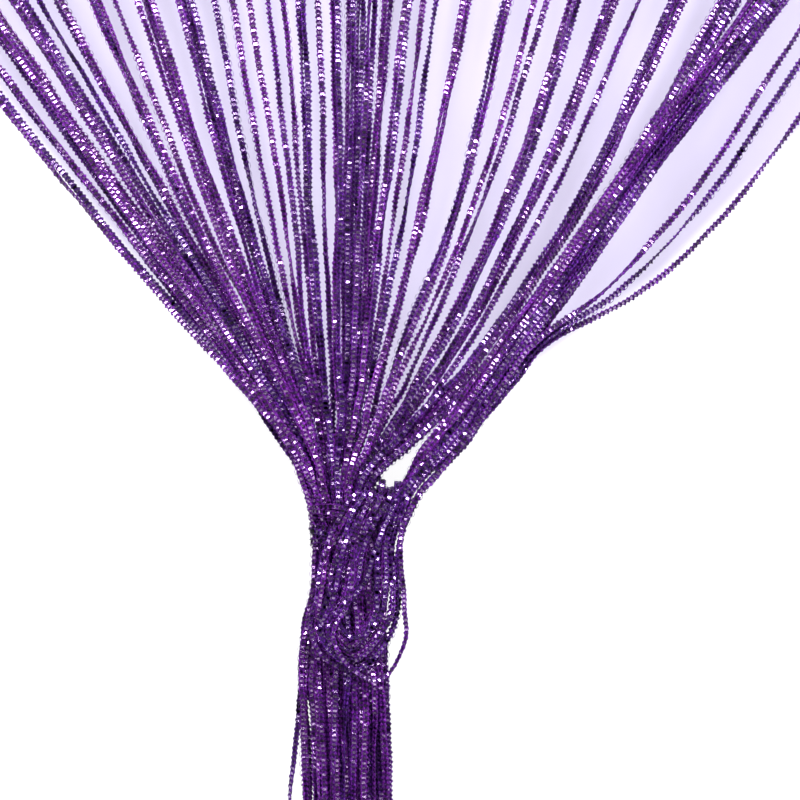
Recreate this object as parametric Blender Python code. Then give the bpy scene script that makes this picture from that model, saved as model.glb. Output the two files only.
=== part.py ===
"""String curtain, gathered into its own slip knot.

A woven heading tape carries a row of flat knitted strings.  Most of them (the
main strings) fan down into one neck and hang on as a tail.  The strings of the
right-hand end (the wrap strings) pass round the neck: six make the flat collar,
twelve make the bight that hangs in front and goes back over the right side.

Frame: metres, +Z up, X along the heading, front is -Y.  The origin is the
middle of the heading's top edge.
"""
import math

import bmesh
import bpy
from mathutils import Vector

MM = 0.001

# Heading and strings
CURTAIN_WIDTH = 1000.0 * MM
CURTAIN_DROP = 2000.0 * MM
TAPE_HEIGHT = 40.0 * MM
TAPE_THICKNESS = 2.0 * MM
PART_GAP = 0.3 * MM
STRIP_HEIGHT = 4.0 * MM
STRIP_THICKNESS = 1.6 * MM
ROOT_DEPTH = 2.5 * MM
STRING_WIDTH = 2.8 * MM
STRING_THICKNESS = 0.8 * MM
STRING_LENGTH = CURTAIN_DROP - TAPE_HEIGHT - PART_GAP

MAIN_COUNT = 72
COLLAR_COLUMNS, COLLAR_LAYERS = 2, 3
BIGHT_COLUMNS, BIGHT_LAYERS = 4, 3
COLLAR_COUNT = COLLAR_COLUMNS * COLLAR_LAYERS
BIGHT_COUNT = BIGHT_COLUMNS * BIGHT_LAYERS
STRING_COUNT = MAIN_COUNT + COLLAR_COUNT + BIGHT_COUNT
STRING_PITCH = CURTAIN_WIDTH / STRING_COUNT

# The neck, where the strings draw together.  The tables below are in
# millimetres from this point: x to the right, y to the back, z up.
NECK = Vector((-35.0 * MM, 0.0, -605.0 * MM))
ROOT_Z = -(TAPE_HEIGHT + PART_GAP + STRIP_HEIGHT)

# Clusters of the fan from left to right: how many strings, and where their
# middle hangs at three heights above the neck.
FAN_HEIGHTS = {"upper": 194.0, "middle": 104.0, "lower": 44.0}
CLUSTER_SPREAD = {"upper": 2.7, "middle": 2.2, "lower": 1.3}
FAN_COLUMNS = ("strings", "upper", "middle", "lower")
FAN = (
    (2, -168.0, -97.0, -45.0),
    (2, -160.0, -90.0, -42.5),
    (5, -146.0, -83.0, -39.0),
    (4, -131.0, -74.0, -35.5),
    (1, -122.0, -69.0, -33.0),
    (2, -115.0, -65.5, -31.0),
    (3, -100.0, -60.0, -28.5),
    (1, -92.0, -56.0, -26.5),
    (4, -80.0, -49.0, -24.5),
    (4, -64.0, -40.0, -21.0),
    (1, -53.0, -34.5, -18.0),
    (1, -45.5, -29.0, -16.0),
    (1, -39.0, -24.0, -14.5),
    (1, -31.0, -20.0, -13.0),
    (1, -25.0, -17.0, -11.0),
    (2, -17.5, -13.5, -9.0),
    (1, -11.0, -8.0, -6.0),
    (2, -4.0, -2.5, -3.0),
    (4, 4.5, 2.0, 1.0),
    (2, 11.0, 6.5, 3.5),
    (2, 17.0, 10.0, 5.5),
    (2, 25.0, 14.5, 7.0),
    (1, 31.5, 19.0, 9.0),
    (1, 36.5, 23.0, 10.5),
    (2, 48.5, 29.5, 13.0),
    (2, 64.5, 42.5, 19.5),
    (1, 76.0, 48.5, 23.0),
    (1, 81.0, 51.5, 25.5),
    (3, 92.0, 61.0, 31.0),
    (3, 107.0, 70.0, 37.0),
    (1, 117.5, 76.5, 41.0),
    (4, 133.0, 89.0, 46.5),
    (5, 154.0, 100.0, 55.0),
)

# The neck is a round bundle: strings in each layer, back to front.
NECK_LAYERS = (4, 5, 6, 7, 7, 7, 7, 7, 7, 6, 5, 4)

# Stations that every main string passes, top to bottom.  "fan" is the share
# of the way out from the neck's own grid to the cluster's place at "lower".
MAIN_COLUMNS = ("height", "fan", "aside", "column_pitch", "layer_pitch", "squeeze")
MAIN_STATIONS = (
    (22.0, 0.50, -1.5, 3.3, 1.25, 0.95),
    (4.0, 0.03, -1.5, 3.2, 1.15, 0.85),
    (-26.0, 0.0, -1.5, 3.0, 1.15, 0.85),
    (-62.0, 0.0, 0.5, 4.9, 1.25, 0.95),
    (-105.0, 0.0, 3.0, 4.9, 1.55, 1.0),
    (-320.0, 0.0, 2.0, 5.4, 1.80, 1.0),
)
FAN_LAYER_PITCH = {"upper": 2.0, "middle": 1.7, "lower": 1.5}
TAIL_END_SPREAD = 1.12

# Wrap strings in the fan: x of each collar and bight column at three heights,
# in front of the main strings.  The last bight column hangs apart, each of its
# strings on its own, and turns in sharply to the others.
WRAP_FAN_HEIGHTS = (194.0, 104.0, 80.0)
WRAP_FAN_DEPTHS = (-14.9, -12.6, -11.8)
WRAP_LAYER_PITCH = 1.4
WRAP_FAN_X = (
    (162.0, 96.0, 81.5),
    (166.5, 100.2, 85.6),
    (171.0, 104.4, 89.7),
    (175.5, 108.6, 93.8),
    (180.0, 112.8, 97.9),
)
LONE_FAN_X = ((189.0, 128.0, 106.5), (198.0, 135.0, 113.0), (214.0, 147.0, 123.0))

# Centre of each wrap bundle through the knot, with the direction that its
# columns lie across, their pitch, the layers' pitch and the steps to the next.
ROUTE_COLUMNS = ("x", "y", "z", "across_x", "across_y", "across_z",
                 "column_pitch", "layer_pitch", "spread", "squeeze", "steps")
COLLAR_ROUTE = (
    (74.0, -11.0, 63.0, -0.7, 0.0, 0.7, 2.9, 1.3, 0.0, 0.95, 1),
    (46.0, -11.0, 27.4, -0.74, 0.0, 0.67, 2.7, 1.3, 0.0, 0.90, 1),
    (29.3, -7.0, 8.3, -0.75, 0.0, 0.66, 2.5, 1.3, 0.0, 0.82, 1),
    (22.5, -3.0, -9.5, -0.3, 0.0, 0.95, 2.6, 1.3, 0.6, 0.78, 1),
    (15.5, 3.5, -15.0, 0.0, 0.0, 1.0, 2.7, 0.7, 1.0, 0.78, 1),
    (9.0, 8.3, -15.0, 0.0, 0.0, 1.0, 2.8, 0.0, 1.0, 0.9, 1),
    (-6.0, 8.7, -15.0, 0.0, 0.0, 1.0, 2.9, 0.0, 1.0, 0.95, 2),
    (-13.0, 5.0, -15.0, 0.0, 0.0, 1.0, 2.9, 0.0, 1.0, 0.95, 1),
    (-14.4, 0.0, -15.0, 0.0, 0.0, 1.0, 2.9, 0.0, 1.0, 0.95, 1),
    (-13.0, -5.0, -15.0, 0.0, 0.0, 1.0, 2.9, 0.0, 1.0, 0.95, 2),
    (-6.0, -8.8, -15.0, 0.0, 0.0, 1.0, 2.9, 0.0, 1.0, 0.95, 2),
    (1.0, -8.8, -17.0, 0.5, 0.0, 0.87, 2.8, 0.0, 1.0, 0.95, 2),
    (5.5, -8.8, -21.5, 0.9, 0.0, 0.43, 2.8, 0.0, 1.0, 0.95, 1),
    (6.8, -8.9, -29.0, 1.0, 0.0, 0.0, 2.9, 0.0, 1.0, 0.95, 1),
    (6.5, -9.4, -60.0, 1.0, 0.0, 0.0, 3.1, 0.0, 1.0, 1.0, 1),
    (6.0, -11.4, -105.0, 1.0, 0.0, 0.0, 4.0, 0.0, 1.0, 1.0, 1),
    (3.0, -12.4, -320.0, 1.0, 0.0, 0.0, 4.4, 0.0, 1.0, 1.0, 1),
)
BIGHT_ROUTE = (
    (80.0, -11.0, 56.5, -0.7, 0.0, 0.7, 2.9, 1.3, 0.0, 0.95, 1),
    (52.0, -11.0, 21.5, -0.74, 0.0, 0.67, 2.7, 1.3, 0.0, 0.90, 1),
    (33.0, -10.0, 0.5, -0.76, 0.0, 0.65, 2.5, 1.2, 0.0, 0.84, 1),
    (24.0, -10.0, -11.0, -0.9, 0.0, 0.43, 2.6, 1.2, 0.0, 0.85, 1),
    (19.5, -12.0, -24.0, -1.0, 0.0, 0.1, 2.6, 1.2, 0.0, 0.88, 1),
    (18.0, -12.6, -40.0, -1.0, 0.0, 0.0, 2.6, 1.2, 0.0, 0.88, 2),
    (15.5, -12.8, -54.0, -0.9, 0.0, 0.4, 2.6, 1.2, 0.0, 0.88, 3),
    (4.0, -13.4, -66.0, 0.0, 0.0, 1.0, 2.5, 1.2, 0.0, 0.85, 3),
    (-7.0, -13.2, -55.5, 0.95, 0.0, 0.3, 2.6, 1.2, 0.0, 0.88, 2),
    (-8.5, -12.8, -40.0, 1.0, 0.0, 0.0, 2.9, 1.2, 0.0, 0.95, 1),
    (-6.0, -12.6, -25.0, 0.95, 0.0, -0.3, 3.0, 1.2, 0.0, 0.95, 1),
    (1.0, -12.6, -13.0, 0.8, 0.0, -0.6, 2.8, 1.2, 0.0, 0.92, 2),
    (10.5, -12.0, -7.5, 0.7, 0.0, -0.7, 2.5, 1.2, 0.0, 0.82, 2),
    (15.0, -6.5, -2.8, 0.95, 0.0, -0.3, 2.3, 1.2, 0.0, 0.78, 2),
    (15.3, 1.5, -1.6, 1.0, 0.0, 0.0, 2.2, 1.2, 0.0, 0.75, 2),
    (15.3, 9.0, -4.6, 1.0, 0.0, 0.0, 2.2, 1.2, 0.0, 0.75, 2),
    (15.0, 12.4, -13.0, 1.0, 0.0, 0.0, 2.4, 1.2, 0.0, 0.8, 1),
    (12.0, 12.2, -30.0, 1.0, 0.0, 0.0, 2.8, 1.2, 0.0, 0.92, 1),
    (9.0, 12.4, -62.0, 1.0, 0.0, 0.0, 3.6, 1.2, 0.0, 1.0, 1),
    (7.0, 14.0, -105.0, 1.0, 0.0, 0.0, 4.6, 1.4, 0.0, 1.0, 1),
    (3.0, 15.0, -320.0, 1.0, 0.0, 0.0, 5.0, 1.5, 0.0, 1.0, 1),
)
# One string at the left edge hangs clear of the tail, from this height down.
STRAY_STRING, STRAY_HEIGHT, STRAY_ASIDE = 1, -105.0, -8.0

RIGHT, DOWN = Vector((1, 0, 0)), Vector((0, 0, -1))

PURPLE = (0.100, 0.030, 0.180, 1.0)
TAPE_PURPLE = (0.080, 0.022, 0.150, 1.0)


def from_neck(x, y, z):
    """A point given in millimetres from the neck, in metres."""
    return NECK + Vector((x, y, z)) * MM


def root_x(index):
    """Where string number index leaves the heading."""
    return -CURTAIN_WIDTH / 2 + (index + 0.5) * STRING_PITCH


def cluster_places():
    """For each main string, its x at the fan's three heights."""
    places = []
    for row in FAN:
        cluster = dict(zip(FAN_COLUMNS, row))
        for k in range(cluster["strings"]):
            aside = k - (cluster["strings"] - 1) / 2
            places.append({name: cluster[name] + aside * CLUSTER_SPREAD[name]
                           for name in FAN_HEIGHTS})
    return places


def neck_cells():
    """Deal the main strings into the neck's layers, left to right.

    Every layer takes strings from the whole width, so neighbours lie in
    different layers and may hang in front of each other.
    """
    turns = []
    for layer, size in enumerate(NECK_LAYERS):
        stagger = (layer * 5 % len(NECK_LAYERS)) / len(NECK_LAYERS)
        for column in range(size):
            turns.append(((column + stagger) / size, layer, column))
    cells = []
    for _, layer, column in sorted(turns):
        cells.append((column - (NECK_LAYERS[layer] - 1) / 2,
                      layer - (len(NECK_LAYERS) - 1) / 2))
    return cells


def ring(centre, across, through, width, thickness):
    """Four corners of a string's flat section."""
    a, b = across * width / 2, through * thickness / 2
    return [centre - a - b, centre + a - b, centre + a + b, centre - a + b]


def level_rings(points, squeezes, across):
    """Horizontal sections of a string that runs mainly downwards."""
    rings = []
    for k, point in enumerate(points):
        before, after = points[max(k - 1, 0)], points[min(k + 1, len(points) - 1)]
        slope = (after - before).normalized()
        widen = 1.0 / max(math.hypot(slope.y, slope.z), 0.5)
        rings.append(ring(point, across, DOWN.cross(across),
                          STRING_WIDTH * squeezes[k] * widen,
                          STRING_THICKNESS * squeezes[k]))
    return rings


def path_length(points):
    return sum((b - a).length for a, b in zip(points, points[1:]))


def add_cut_end(points, end_spread):
    """Hang the rest of the string's length straight down from its last point."""
    last = points[-1]
    rest = STRING_LENGTH - path_length(points)
    points.append(Vector((NECK.x + (last.x - NECK.x) * end_spread,
                          last.y * end_spread, last.z - rest)))


def main_string(index, places, cell):
    """Sections of one main string: root, fan, neck and tail."""
    column, layer = cell
    points = [Vector((root_x(index), 0.0, ROOT_Z + ROOT_DEPTH))]
    squeezes = [1.0]
    for name, height in FAN_HEIGHTS.items():
        points.append(from_neck(places[name], layer * FAN_LAYER_PITCH[name], height))
        squeezes.append(1.0)
    for row in MAIN_STATIONS:
        at = dict(zip(MAIN_COLUMNS, row))
        x = at["aside"] + column * at["column_pitch"]
        x += (places["lower"] - x) * at["fan"]
        if index == STRAY_STRING and at["height"] <= STRAY_HEIGHT:
            x += STRAY_ASIDE
        points.append(from_neck(x, layer * at["layer_pitch"], at["height"]))
        squeezes.append(at["squeeze"])
    add_cut_end(points, TAIL_END_SPREAD)
    squeezes.append(1.0)
    return level_rings(points, squeezes, RIGHT)


def catmull(rows, k, t):
    """Smooth value between rows k and k + 1, for every column at once."""
    a, b, c, d = (rows[min(max(j, 0), len(rows) - 1)] for j in (k - 1, k, k + 1, k + 2))
    return [0.5 * (2 * q + (r - p) * t + (2 * p - 5 * q + 4 * r - s) * t * t
                   + (3 * q - p - 3 * r + s) * t ** 3)
            for p, q, r, s in zip(a, b, c, d)]


def route_frames(route):
    """Centre, across, through and pitches at every step of a bundle's route."""
    samples = []
    for k, row in enumerate(route[:-1]):
        steps = row[-1]
        samples += [catmull(route, k, s / steps) for s in range(steps)]
    samples.append(route[-1])
    stations = [dict(zip(ROUTE_COLUMNS, sample)) for sample in samples]
    centres = [from_neck(at["x"], at["y"], at["z"]) for at in stations]
    frames = []
    for k, at in enumerate(stations):
        along = (centres[min(k + 1, len(centres) - 1)] - centres[max(k - 1, 0)]).normalized()
        across = Vector((at["across_x"], at["across_y"], at["across_z"])).normalized()
        frames.append((centres[k], across, along.cross(across).normalized(), at))
    return frames


def wrap_string(index, column, layer, fan_x, frames, fan_layer):
    """Sections of one collar or bight string.

    Column and layer count from the bundle's middle.  Where the bundle's
    "spread" is 1, its layers slide apart until the strings lie side by side.
    """
    points = [Vector((root_x(index), 0.0, ROOT_Z + ROOT_DEPTH))]
    for height, depth, x in zip(WRAP_FAN_HEIGHTS, WRAP_FAN_DEPTHS, fan_x):
        points.append(from_neck(x, depth + fan_layer * WRAP_LAYER_PITCH, height))
    rings = level_rings(points, [1.0] * len(points), -RIGHT)
    for centre, across, through, at in frames:
        aside = (column - layer * COLLAR_COLUMNS * at["spread"]) * at["column_pitch"]
        point = centre + (across * aside + through * layer * at["layer_pitch"]) * MM
        points.append(point)
        rings.append(ring(point, across, through, STRING_WIDTH * at["squeeze"],
                          STRING_THICKNESS * at["squeeze"]))
    add_cut_end(points, TAIL_END_SPREAD)
    rings += level_rings(points[-2:], [1.0, 1.0], RIGHT)[1:]
    return rings


def wrap_strings():
    """All collar strings, then all bight strings, from left to right."""
    collar, bight = route_frames(COLLAR_ROUTE), route_frames(BIGHT_ROUTE)
    strings = []
    index = MAIN_COUNT
    for column in range(COLLAR_COLUMNS):
        for layer in range(COLLAR_LAYERS):
            side = (COLLAR_COLUMNS - 1) / 2 - column
            depth = layer - (COLLAR_LAYERS - 1) / 2
            strings.append(wrap_string(index, side, depth, WRAP_FAN_X[column], collar, depth))
            index += 1
    for column in range(BIGHT_COLUMNS):
        for layer in range(BIGHT_LAYERS):
            side = (BIGHT_COLUMNS - 1) / 2 - column
            depth = layer - (BIGHT_LAYERS - 1) / 2
            lone = column == BIGHT_COLUMNS - 1
            fan_x = LONE_FAN_X[layer] if lone else WRAP_FAN_X[COLLAR_COLUMNS + column]
            strings.append(wrap_string(index, side, depth, fan_x, bight, depth))
            index += 1
    return strings


def material(name, colour, roughness, metallic):
    made = bpy.data.materials.new(name)
    made.use_nodes = True
    shader = made.node_tree.nodes["Principled BSDF"]
    shader.inputs["Base Color"].default_value = colour
    shader.inputs["Roughness"].default_value = roughness
    shader.inputs["Metallic"].default_value = metallic
    return made


def loft(bm, rings):
    """Skin a string's sections into one closed four-sided body."""
    loops = [[bm.verts.new(corner) for corner in section] for section in rings]
    for upper, lower in zip(loops, loops[1:]):
        for k in range(4):
            n = (k + 1) % 4
            bm.faces.new((upper[k], upper[n], lower[n], lower[k]))
    bm.faces.new(reversed(loops[0]))
    bm.faces.new(loops[-1])


def mesh_object(name, collection, bm, look):
    bmesh.ops.recalc_face_normals(bm, faces=bm.faces)
    mesh = bpy.data.meshes.new(name)
    bm.to_mesh(mesh)
    bm.free()
    made = bpy.data.objects.new(name, mesh)
    collection.objects.link(made)
    if look:
        mesh.materials.append(look)
    return made


def box_object(name, collection, low, high, look):
    """A plain block between two corners."""
    bm = bmesh.new()
    bmesh.ops.create_cube(bm, size=1.0)
    low, high = Vector(low), Vector(high)
    bmesh.ops.scale(bm, vec=high - low, verts=bm.verts)
    bmesh.ops.translate(bm, vec=(high + low) / 2, verts=bm.verts)
    return mesh_object(name, collection, bm, look)


def fringe(name, parts, cutters, left, right, strings, look):
    """A narrow backing strip with its strings' roots fused into it."""
    top = -(TAPE_HEIGHT + PART_GAP)
    strip = box_object(name, parts, (left, -STRIP_THICKNESS / 2, top - STRIP_HEIGHT),
                       (right, STRIP_THICKNESS / 2, top), look)
    bm = bmesh.new()
    for rings in strings:
        loft(bm, rings)
    hanging = mesh_object(name + "_strings", cutters, bm, look)
    hanging.hide_render = True
    hanging.display_type = "WIRE"
    fuse = strip.modifiers.new("fuse_roots", "BOOLEAN")
    fuse.operation = "UNION"
    fuse.solver = "EXACT"
    fuse.object = hanging
    return strip


def build():
    for thing in list(bpy.data.objects):
        bpy.data.objects.remove(thing, do_unlink=True)
    parts = bpy.data.collections.new("string_curtain")
    cutters = bpy.data.collections.new("cutters")
    for collection in (parts, cutters):
        bpy.context.scene.collection.children.link(collection)

    yarn = material("purple_yarn", PURPLE, 0.45, 0.3)
    wrap_yarn = material("wrap_yarn", PURPLE, 0.45, 0.3)
    tape = material("tape_weave", TAPE_PURPLE, 0.8, 0.0)

    box_object("heading_tape", parts,
               (-CURTAIN_WIDTH / 2, -TAPE_THICKNESS / 2, -TAPE_HEIGHT),
               (CURTAIN_WIDTH / 2, TAPE_THICKNESS / 2, 0.0), tape)

    main = [main_string(index, places, cell) for index, (places, cell)
            in enumerate(zip(cluster_places(), neck_cells()))]
    split = root_x(MAIN_COUNT) - STRING_PITCH / 2
    fringe("main_strings", parts, cutters, -CURTAIN_WIDTH / 2, split - PART_GAP / 2, main, yarn)
    fringe("wrap_strings", parts, cutters, split + PART_GAP / 2, CURTAIN_WIDTH / 2,
           wrap_strings(), wrap_yarn)


build()
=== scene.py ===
"""String curtain drawn into its own slip knot: the visible strings, their finishes and the stage.

Each string is a flat knitted ladder.  Two looped edge threads hold bright film
rungs between them, one rung to a stitch, over a dark ground.  Round the knot
every stitch is modelled, and further off the string is a twisting flat ribbon
with the same ladder in its finish.
"""
import math

import bpy
import numpy as np
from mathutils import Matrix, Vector


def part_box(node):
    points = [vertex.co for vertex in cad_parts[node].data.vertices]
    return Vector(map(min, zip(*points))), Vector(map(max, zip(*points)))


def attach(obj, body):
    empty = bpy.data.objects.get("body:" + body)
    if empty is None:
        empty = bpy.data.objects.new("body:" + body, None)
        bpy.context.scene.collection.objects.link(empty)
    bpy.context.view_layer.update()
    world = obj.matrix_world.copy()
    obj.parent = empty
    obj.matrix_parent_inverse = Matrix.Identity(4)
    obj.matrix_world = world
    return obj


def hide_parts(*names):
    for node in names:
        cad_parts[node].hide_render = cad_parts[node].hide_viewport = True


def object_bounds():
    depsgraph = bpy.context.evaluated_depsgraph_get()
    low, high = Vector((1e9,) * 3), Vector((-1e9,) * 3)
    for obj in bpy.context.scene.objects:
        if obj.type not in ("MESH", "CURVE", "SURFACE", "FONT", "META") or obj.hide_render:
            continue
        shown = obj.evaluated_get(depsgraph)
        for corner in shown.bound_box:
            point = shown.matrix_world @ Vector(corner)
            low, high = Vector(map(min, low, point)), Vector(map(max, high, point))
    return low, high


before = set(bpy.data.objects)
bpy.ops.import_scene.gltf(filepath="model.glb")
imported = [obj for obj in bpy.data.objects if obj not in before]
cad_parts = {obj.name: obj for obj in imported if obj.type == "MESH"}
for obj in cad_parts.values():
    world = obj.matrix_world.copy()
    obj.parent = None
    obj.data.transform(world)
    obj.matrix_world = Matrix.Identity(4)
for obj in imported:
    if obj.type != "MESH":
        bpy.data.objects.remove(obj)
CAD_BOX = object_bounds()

bl_info = {
    "name": "String Curtain",
    "version": (1, 0, 0),
    "blender": (4, 5, 0),
    "location": "View3D > Sidebar > Curtain",
    "description": "Knitted string curtain gathered into a slip knot",
    "category": "Object",
}

MM = 0.001
BODY = "root"
SEED = 11

# Sizes that the frame gives.
TAPE_LOW, TAPE_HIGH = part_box("heading_tape")
CURTAIN_LEFT = TAPE_LOW.x
CURTAIN_WIDTH = TAPE_HIGH.x - TAPE_LOW.x
STRIP_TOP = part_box("main_strings")[1].z

# The strings, as they are cut and as they lie in the knot.
STRIP_HEIGHT = 4.0 * MM
ROOT_DEPTH = 2.5 * MM
ROOT_Z = STRIP_TOP - STRIP_HEIGHT
STRING_LENGTH = 1959.7 * MM
MAIN_COUNT = 72
COLLAR_COLUMNS, COLLAR_LAYERS = 2, 3
BIGHT_COLUMNS, BIGHT_LAYERS = 4, 3
COLLAR_COUNT = COLLAR_COLUMNS * COLLAR_LAYERS
STRING_COUNT = MAIN_COUNT + COLLAR_COUNT + BIGHT_COLUMNS * BIGHT_LAYERS
STRING_PITCH = CURTAIN_WIDTH / STRING_COUNT
SMOOTH_STEP = 1.0 * MM

# The neck, where the strings draw together.  The tables below are in
# millimetres from this point: x to the right, y to the back, z up.
NECK = Vector((-35.0, 0.0, -605.0)) * MM
RIGHT, UP = Vector((1, 0, 0)), Vector((0, 0, 1))

# Clusters of the fan from left to right: how many strings, and where their
# middle hangs at three heights above the neck.
FAN_HEIGHTS = {"upper": 194.0, "middle": 104.0, "lower": 44.0}
CLUSTER_SPREAD = {"upper": 1.8, "middle": 1.6, "lower": 1.2}
FAN_COLUMNS = ("strings", "upper", "middle", "lower")
FAN = (
    (2, -168.0, -97.0, -45.0),
    (2, -160.0, -90.0, -42.5),
    (5, -146.0, -83.0, -39.0),
    (4, -131.0, -74.0, -35.5),
    (1, -122.0, -69.0, -33.0),
    (2, -115.0, -65.5, -31.0),
    (3, -100.0, -60.0, -28.5),
    (1, -92.0, -56.0, -26.5),
    (4, -80.0, -49.0, -24.5),
    (4, -64.0, -40.0, -21.0),
    (1, -53.0, -34.5, -18.0),
    (1, -45.5, -29.0, -16.0),
    (1, -39.0, -24.0, -14.5),
    (1, -31.0, -20.0, -13.0),
    (1, -25.0, -17.0, -11.0),
    (2, -17.5, -13.5, -8.5),
    (1, -11.0, -8.0, -5.4),
    (2, -4.0, -2.5, -3.0),
    (4, 4.5, 2.0, 1.0),
    (2, 11.0, 6.5, 3.5),
    (2, 17.0, 10.0, 5.5),
    (2, 25.0, 14.5, 7.0),
    (1, 31.5, 19.0, 9.0),
    (1, 36.5, 23.0, 10.5),
    (2, 48.5, 29.5, 13.8),
    (2, 64.5, 42.5, 18.9),
    (1, 76.0, 48.5, 22.3),
    (1, 81.0, 51.5, 25.5),
    (3, 92.0, 61.0, 31.0),
    (3, 107.0, 70.0, 37.0),
    (1, 117.5, 76.5, 41.0),
    (4, 133.0, 89.0, 46.5),
    (5, 154.0, 100.0, 55.0),
)

# The neck is a round bundle: strings in each layer, back to front.
NECK_LAYERS = (4, 5, 6, 7, 7, 7, 7, 7, 7, 6, 5, 4)
# How the strings are dealt into the layers, and how far each layer lies aside
# of the next: the reach, as a share of the pitch, and the step from layer to
# layer, as a share of that reach.
LAYER_SHUFFLE = 5
LAYER_REACH, LAYER_STEP = 0.5, 0.382

# Stations that every main string passes, top to bottom.  "fan" is the share
# of the way out from the neck's own grid to the cluster's place at "lower",
# and "squeeze" the share of its full width that a pressed string keeps.
MAIN_COLUMNS = ("height", "fan", "aside", "column_pitch", "layer_pitch", "squeeze")
MAIN_STATIONS = (
    (22.0, 0.50, -1.8, 3.4, 1.25, 1.0),
    (2.5, 0.10, -3.4, 3.3, 1.15, 0.92),
    (-26.0, 0.0, -1.7, 3.1, 1.15, 0.68),
    (-62.0, 0.0, -1.0, 5.0, 1.35, 0.85),
    (-105.0, 0.0, 0.5, 5.2, 1.75, 0.95),
    (-320.0, 0.0, 2.0, 5.4, 1.80, 1.0),
)
FAN_LAYER_PITCH = {"upper": 2.0, "middle": 1.7, "lower": 1.5}
TAIL_END_SPREAD = 1.12

# Wrap strings in the fan: x of each collar and bight column at three heights,
# in front of the main strings.  The last bight column hangs apart, each of its
# strings on its own, and turns in sharply to the others.
WRAP_FAN_HEIGHTS = (194.0, 104.0, 80.0)
WRAP_FAN_DEPTHS = (-14.9, -12.6, -11.8)
WRAP_LAYER_PITCH = 1.4
WRAP_FAN_X = (
    (162.0, 96.0, 79.0),
    (165.5, 99.0, 82.2),
    (169.0, 102.0, 85.4),
    (172.5, 105.0, 88.6),
    (176.0, 108.0, 91.8),
)
LONE_FAN_X = ((189.0, 128.0, 106.5), (198.0, 135.0, 113.0), (214.0, 147.0, 123.0))

# Centre of each wrap bundle through the knot, with the direction that its
# columns lie across, their pitch, the layers' pitch, how far the layers slide
# apart, the share of width that is kept and the steps to the next row.
ROUTE_COLUMNS = ("x", "y", "z", "across_x", "across_z",
                 "column_pitch", "layer_pitch", "spread", "squeeze", "steps")
COLLAR_ROUTE = (
    (66.0, -11.0, 61.0, -0.7, 0.7, 2.4, 1.3, 0.0, 0.95, 1),
    (42.3, -11.0, 26.2, -0.74, 0.67, 2.3, 1.3, 0.0, 0.95, 1),
    (27.6, -7.0, 6.4, -0.75, 0.66, 2.2, 1.3, 0.0, 0.80, 1),
    (22.5, -3.0, -9.5, -0.3, 0.95, 2.6, 1.3, 0.6, 0.62, 1),
    (15.5, 3.5, -15.0, 0.0, 1.0, 2.7, 0.7, 1.0, 0.62, 1),
    (9.0, 8.3, -15.0, 0.0, 1.0, 2.8, 0.0, 1.0, 0.72, 1),
    (-6.0, 8.7, -15.0, 0.0, 1.0, 2.9, 0.0, 1.0, 0.84, 2),
    (-12.0, 5.0, -15.0, 0.0, 1.0, 2.7, 0.0, 1.0, 0.90, 1),
    (-13.4, 0.0, -15.0, 0.0, 1.0, 2.7, 0.0, 1.0, 0.92, 1),
    (-12.0, -5.0, -15.0, 0.0, 1.0, 2.7, 0.0, 1.0, 0.90, 2),
    (-6.0, -8.8, -15.0, 0.0, 1.0, 2.9, 0.0, 1.0, 0.84, 2),
    (1.0, -8.8, -17.0, 0.5, 0.87, 2.8, 0.0, 1.0, 0.76, 2),
    (5.5, -8.8, -21.5, 0.9, 0.43, 2.8, 0.0, 1.0, 0.76, 1),
    (6.8, -8.9, -29.0, 1.0, 0.0, 2.9, 0.0, 1.0, 0.76, 1),
    (5.5, -9.4, -60.0, 1.0, 0.0, 2.6, 0.0, 1.0, 0.80, 1),
    (6.0, -11.4, -105.0, 1.0, 0.0, 4.0, 0.0, 1.0, 1.00, 1),
    (3.0, -12.4, -320.0, 1.0, 0.0, 4.4, 0.0, 1.0, 1.00, 1),
)
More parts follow.
